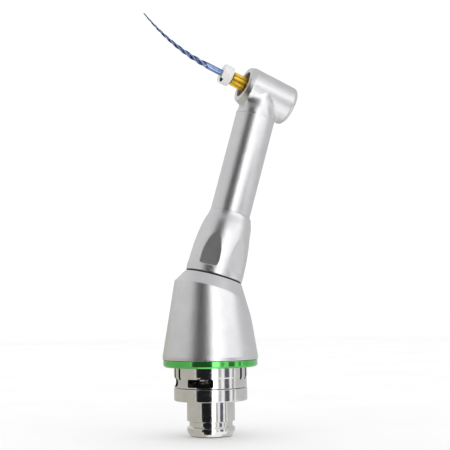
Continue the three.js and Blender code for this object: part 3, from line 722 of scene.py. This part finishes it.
def on_head(x, y, radius):
    """The point of a cylinder round the head's axis that lies straight below, in the neck's frame."""
    turn = HEAD_IN_NECK.to_3x3()
    down = math.sqrt(radius**2 - min(abs(y), radius * 0.985) ** 2)
    along = min((x - down * turn.col[0].x) / turn.col[2].x, HEAD_NOSE - 0.05)
    return Vector((0, y, NECK_LENGTH)) + turn.col[0] * down + turn.col[2] * along


def head_stub():
    """The stub of the head casting: from a circle on the neck tube it flares into the head."""
    segments, steps = 128, 14
    foot = STUB_FOOT + 0.01
    turn = HEAD_IN_NECK.to_3x3()
    up = Vector((0, 0, 1))
    rings = [[] for _ in range(steps + 4)]
    for k in range(segments):
        angle = 2 * math.pi * k / segments
        out = Vector((math.cos(angle), math.sin(angle), 0))
        front, rear = max(0, out.x), max(0, -out.x)
        start = out * NECK_R + up * (foot + 0.03)
        end = on_head(out.x * (NECK_R + 0.95 * front + 0.8 * rear), out.y * NECK_R, HEAD_R - 0.01)
        local = turn.inverted() @ (end - up * NECK_LENGTH)
        normal = (turn @ Vector((local.x, local.y, 0))).normalized()
        arrive = up + out * 0.4
        arrive = (arrive - normal * arrive.dot(normal)).normalized()
        leave = (up + out * front * 0.36).normalized()
        span = (end - start).length
        b = start + leave * span * 0.4
        c = end - arrive * span * (0.4 + 0.15 * rear)
        rings[0].append(tuple(out * NECK_BORE_R + up * foot))
        rings[1].append(tuple(out * (NECK_R - 0.03) + up * foot))
        for i in range(steps):
            s = i / (steps - 1)
            p = start * (1 - s) ** 3 + b * 3 * s * (1 - s) ** 2 + c * 3 * s * s * (1 - s) + end * s**3
            rings[i + 2].append(tuple(p))
        rings[steps + 2].append(tuple(end - normal * 0.3))
        rings[steps + 3].append(tuple(on_head(out.x * NECK_BORE_R, out.y * NECK_BORE_R, HEAD_BORE_R + 0.2)))
    return loft("head_stub", rings, NECK, wrap=True, sharp=40)


def neck_and_head():
    tube = lathe("neck_tube", [
        (NECK_BORE_R, NECK_FOOT, 0.1), (3.85, NECK_FOOT, 0.1), (3.85, GRIP_TOP + 0.03),
        (NECK_R, GRIP_TOP + 0.03, 0.05), (NECK_R, STUB_FOOT, 0.03), (NECK_BORE_R, STUB_FOOT),
    ], NECK)
    fit(tube, "neck_head_shell")
    fit(head_stub(), "neck_head_shell")

    barrel = lathe("head_barrel", [
        (HEAD_BORE_R, HEAD_BACK), (HEAD_R, HEAD_BACK, 0.06), (HEAD_R, HEAD_NOSE, 0.7),
        (HEAD_R - 0.42, HEAD_FRONT, 0.3), (FRONT_SEAT_R, HEAD_FRONT, 0.12), (FRONT_SEAT_R, FRONT_SEAT),
        (HEAD_BORE_R, FRONT_SEAT),
    ], HEAD)
    fit(barrel, "neck_head_shell")

    rim = HEAD_BACK - 0.04
    hole = BUTTON_R + 0.1
    cap = lathe("back_cap", [
        (hole, CAP_BACK, 0.08), (HEAD_R - 0.62, CAP_BACK, 0.25), (HEAD_R - 0.2, CAP_BACK + 0.3, 0.2),
        (HEAD_R - 0.02, rim, 0.05), (HEAD_BORE_R - 0.1, rim), (HEAD_BORE_R - 0.1, -5.3), (2.1, -5.3),
        (2.1, -5.5), (hole, -5.5),
    ], HEAD)
    fit(cap, "head_back_cap")

    button = lathe("button", [
        (0, BUTTON_BACK), (1.55, BUTTON_BACK + 0.03, 0.3), (1.7, BUTTON_BACK + 0.16, 0.06),
        (1.85, BUTTON_BACK + 0.07, 0.1), (2.6, BUTTON_BACK + 0.2, 0.4), (BUTTON_R, BUTTON_BACK + 0.45, 0.2),
        (BUTTON_R, -6.3, 0.05), (1.2, -6.3), (1.2, BUTTON_STEM, 0.1), (0, BUTTON_STEM),
    ], HEAD)
    fit(button, "push_button")

    inside = SPINDLE_R + 0.15
    bands = 7  # raised and sunk bands by turns
    width = (SHIELD_R - inside) / bands
    profile = [(inside, SHIELD_BACK), (SHIELD_R, SHIELD_BACK)]
    for k in range(bands):
        height = SHIELD_FRONT - (0 if k % 2 == 0 else 0.08)
        profile += [(SHIELD_R - width * k, height, 0.02), (SHIELD_R - width * (k + 1), height, 0.02)]
    shield = lathe("bearing_shield", profile, HEAD)
    fit(shield, "front_bearing_shield")
    shield.data.materials[0] = dark_bronze()

    bore = 1.22
    spindle = lathe("spindle", [
        (bore, -2.9), (bore, SPINDLE_NOSE - 0.3, 0.05), (bore + 0.16, SPINDLE_NOSE, 0.05),
        (SPINDLE_R - 0.14, SPINDLE_NOSE, 0.05), (SPINDLE_R, SPINDLE_NOSE - 0.2, 0.05),
        (SPINDLE_R, SPINDLE_LIP), (SPINDLE_R, SPINDLE_TAIL, 0.1), (1.5, SPINDLE_TAIL), (1.5, -2.9),
    ], HEAD, 64)
    fit(spindle, "chuck_spindle")
    paint(spindle, shield.data.materials[0], HEAD, lambda c, r: c.z > SPINDLE_LIP - 0.02)


# ---------------------------------------------------------------------------------------------
# Rotary file
# ---------------------------------------------------------------------------------------------


def blade_radius(h):
    along = np.maximum(0, h - BLADE_TAPER_START) / (BLADE_TIP - BLADE_TAPER_START)
    return BLADE_R + (BLADE_TIP_R - BLADE_R) * along


def blade_offset(h):
    return -BLADE_CURVE * max(0, h - BLADE_CURVE_START) ** 2


def blade():
    """A round shaft that runs out into twisted flutes, on the curved centre line."""
    angles = np.linspace(0, 2 * math.pi, 32, endpoint=False)
    flute_start = BLADE_TAPER_START + 0.4
    tip_round = 0.25
    heights = np.concatenate([
        np.linspace(BLADE_BACK, flute_start, 8, endpoint=False), np.linspace(flute_start, BLADE_TIP, 300),
    ])
    rings = []
    twist = 0
    last = flute_start
    for h in heights:
        cutting = max(0, h - flute_start)
        pitch = FLUTES * (2.4 - 1.2 * cutting / (BLADE_TIP - flute_start))
        twist += 2 * math.pi * max(0, h - last) / pitch
        last = max(last, h)
        depth = 0.3 * smooth_step(cutting, 0, 1)
        wave = (0.5 - 0.5 * np.cos(FLUTES * (angles - twist))) ** 0.7
        near_tip = max(0.05, 1 - max(0, (h - BLADE_TIP + tip_round) / tip_round)) ** 0.5
        radii = blade_radius(h) * 0.98 * (1 - depth * wave) * near_tip
        ring = ring_points(radii, h, angles)
        ring[:, 0] += blade_offset(h)
        rings.append(ring)
    piece = fit(loft("blade", rings, HEAD, sharp=60), "file_blade")
    # Painted shade: the valley faces of the flutes get the darker blue.
    paint(piece, painted_flute_shade(), HEAD, lambda c, r: (
        math.hypot(c.x - blade_offset(c.z), c.y) < 0.85 * blade_radius(c.z)))


def handle():
    """A drum with rounded ribs, whose ends are crowned."""
    angles = np.linspace(0, 2 * math.pi, 160, endpoint=False)
    rib_count, hollow, bore = 8, 0.45, 0.98
    ribs = np.clip(np.cos(rib_count * angles) * 2 + 0.5, -1, 1) * 0.5 + 0.5
    outline = [  # height above the back of the handle, share of its radius
        (0, 0.82), (0.04, 0.9), (0.14, 0.96), (0.3, 1.0), (1.5, 1.0), (2.5, 1.0), (2.8, 0.98),
        (2.95, 0.93), (3.02, 0.86),
    ]
    rings = [ring_points(bore, HANDLE_BACK, angles)]
    for height, share in outline:
        radii = HANDLE_R * share - hollow * (1 - ribs)
        rings.append(ring_points(radii, HANDLE_BACK + height, angles))
    rings.append(ring_points(HANDLE_R * 0.8 - hollow * (1 - ribs), HANDLE_FRONT, angles))
    rings.append(ring_points(BLADE_R + 0.08, HANDLE_FRONT, angles))
    rings.append(ring_points(BLADE_R + 0.08, BLADE_BACK - 0.05, angles))
    rings.append(ring_points(bore, BLADE_BACK - 0.05, angles))
    piece = fit(loft("handle", rings, HEAD, wrap=True, sharp=38), "file_handle")
    paint(piece, amber_shade(), HEAD, lambda c, r: r < HANDLE_R - 0.35)


def shank():
    flat = rounded_block("flat", (2, 4, 4), 0.05, (0, 0, 0), 0)
    flat.data.transform(HEAD @ Matrix.Translation(Vector((1.5, 0, -3.6)) * MM))
    piece = lathe("shank", [
        (0, SHANK_TAIL), (SHANK_R, SHANK_TAIL, 0.1), (SHANK_R, -4.5, 0.06), (0.92, -4.4, 0.04),
        (0.92, -3.9, 0.04), (SHANK_R, -3.8, 0.06), (SHANK_R, HANDLE_BACK - 0.05, 0.05),
        (0.9, HANDLE_BACK - 0.05), (0.9, SHANK_FRONT, 0.05), (0, SHANK_FRONT),
    ], HEAD, 48)
    return fit(cut(piece, [flat]), "file_shank")


def stopper():
    bore = BLADE_R + 0.06
    piece = lathe("stop", [
        (bore, STOPPER_BACK, 0.1), (STOPPER_R, STOPPER_BACK, 0.3), (STOPPER_R, STOPPER_FRONT, 0.3),
        (1.2, STOPPER_FRONT, 0.2), (1.05, STOPPER_FRONT - 0.06, 0.1), (bore, STOPPER_FRONT - 0.06, 0.05),
    ], HEAD, 96)
    pocket = rounded_block("pocket", (1.2, 1, 1), 0.05, (1.9, 0, STOPPER_FRONT), MARK_AZIMUTH)
    pocket.data.transform(HEAD)
    fit(cut(piece, [pocket]), "stopper")
    place = (1.74, 0, STOPPER_FRONT - 0.25)
    mark = rounded_block("pointer_mark", (0.8, 0.94, 0.5), 0.15, place, MARK_AZIMUTH)
    mark.data.transform(HEAD)
    fit(mark, "stopper_mark")


# ---------------------------------------------------------------------------------------------
# Studio
# ---------------------------------------------------------------------------------------------


def camera():
    """A long lens, close to level. Gives the azimuth at which it stands."""
    distance, turn, tilt, roll = 232.6, 20.9 * DEG, -4.04 * DEG, 0.73 * DEG
    shift = Vector((-2.96, -36.6, 0))
    x_image = Vector((-math.cos(turn), 0, math.sin(turn)))
    z_image = Vector((0, 1, 0))
    upright = Matrix((x_image, z_image.cross(x_image), z_image)).transposed()
    look = Matrix.Rotation(roll, 3, "Z") @ Matrix.Rotation(tilt, 3, "X") @ upright
    place = look.transposed().to_4x4()
    place.translation = look.transposed() @ (Vector((0, 0, distance)) - shift) * MM
    data = bpy.data.cameras.new("camera")
    data.lens = 88.96
    data.clip_start = 0.01
    data.clip_end = 20
    eye = bpy.data.objects.new("camera", data)
    eye.matrix_world = place
    bpy.context.scene.collection.objects.link(eye)
    bpy.context.scene.camera = eye
    return math.atan2(place.translation.y, place.translation.x)


def card(name, azimuths, elevations, distance, colour):
    """A curved studio card that only reflections see."""
    columns, rows = 25, 13
    middle = Vector((0, 0, 0.04))  # half way up the handpiece, in metres
    vertices = [
        middle + Vector((math.cos(e) * math.cos(a), math.cos(e) * math.sin(a), math.sin(e))) * distance
        for e in np.linspace(*elevations, rows) for a in np.linspace(*azimuths, columns)
    ]
    corners = [i * columns + k for i in range(rows - 1) for k in range(columns - 1)]
    faces = [(c, c + 1, c + columns + 1, c + columns) for c in corners]
    mesh = bpy.data.meshes.new(name)
    mesh.from_pydata(vertices, [], faces)
    material = bpy.data.materials.new(name)
    material.use_nodes = True
    tree = material.node_tree
    tree.nodes.clear()
    glow = tree.nodes.new("ShaderNodeEmission")
    glow.inputs["Color"].default_value = (*colour, 1)
    output = tree.nodes.new("ShaderNodeOutputMaterial")
    tree.links.new(glow.outputs["Emission"], output.inputs["Surface"])
    mesh.materials.append(material)
    piece = bpy.data.objects.new(name, mesh)
    piece.visible_camera = False
    piece.visible_diffuse = False
    piece.visible_shadow = False
    bpy.context.scene.collection.objects.link(piece)


def studio(facing):
    """A white room with a dark flag left of the lens, a bright strip right of it and grey cards."""
    world = bpy.data.worlds.new("room")
    world.use_nodes = True
    world.node_tree.nodes["Background"].inputs["Color"].default_value = (1, 1, 1, 1)
    world.node_tree.nodes["Background"].inputs["Strength"].default_value = 1.06
    bpy.context.scene.world = world
    bpy.context.scene.view_settings.view_transform = "Standard"

    cards = [  # name, from and to azimuth right of the lens, from and to elevation, distance, colour
        ("flag", (-46, 4), (-75, 55), 0.6, (0.014, 0.014, 0.016)),
        ("strip", (5, 20), (-75, 30), 0.6, (2.6, 2.6, 2.6)),
        ("soft_box", (20, 78), (8, 28), 0.65, (1.45, 1.45, 1.47)),
        ("upper_box", (5, 78), (28, 50), 0.65, (0.86, 0.86, 0.87)),
        ("grey_edge", (25, 33), (-20, 7), 0.6, (0.5, 0.5, 0.56)),
        ("thin_flag", (44, 61), (-30, 7), 0.6, (0.1, 0.105, 0.15)),
        ("second_flag", (71, 79), (-20, 7), 0.6, (0.35, 0.35, 0.36)),
        ("right_card", (84, 180), (-14, 50), 0.65, (0.6, 0.6, 0.61)),
        ("low_right_card", (97, 180), (-75, -14), 0.65, (0.66, 0.66, 0.66)),
        ("left_card", (-180, -48), (4, 50), 0.65, (0.7, 0.7, 0.71)),
        ("low_left_card", (-180, -48), (-75, 4), 0.65, (0.53, 0.52, 0.47)),
        ("top_card", (-180, 180), (50, 90), 0.7, (0.62, 0.62, 0.63)),
    ]
    for name, azimuths, elevations, distance, colour in cards:
        across = [facing + a * DEG for a in azimuths]
        card(name, across, [e * DEG for e in elevations], distance, colour)

    floor_mesh = bpy.data.meshes.new("floor")
    half = 1.5
    height = cad_box[0].z - 0.2 * MM
    corners = [(-half, -half), (half, -half), (half, half), (-half, half)]
    floor_mesh.from_pydata([(x, y, height) for x, y in corners], [], [(0, 1, 2, 3)])
    floor = bpy.data.objects.new("floor", floor_mesh)
    finish = Finish("pale_floor", 0.0, 0.9)
    finish.colour(finish.noise(30, 2), (0.93, 0.93, 0.93), (0.96, 0.96, 0.96))
    floor_mesh.materials.append(finish.material)
    floor.visible_glossy = False
    bpy.context.scene.collection.objects.link(floor)


# ---------------------------------------------------------------------------------------------
# The handpiece
# ---------------------------------------------------------------------------------------------

coupling()
cone()
grip()
neck_and_head()
shank()
handle()
blade()
stopper()

for node, kept in frame["nodes"].items():
    if not kept.hide_render:
        kept.data.materials.clear()
        kept.data.materials.append(MATERIALS[SLOT_OF[node]])

studio(camera())
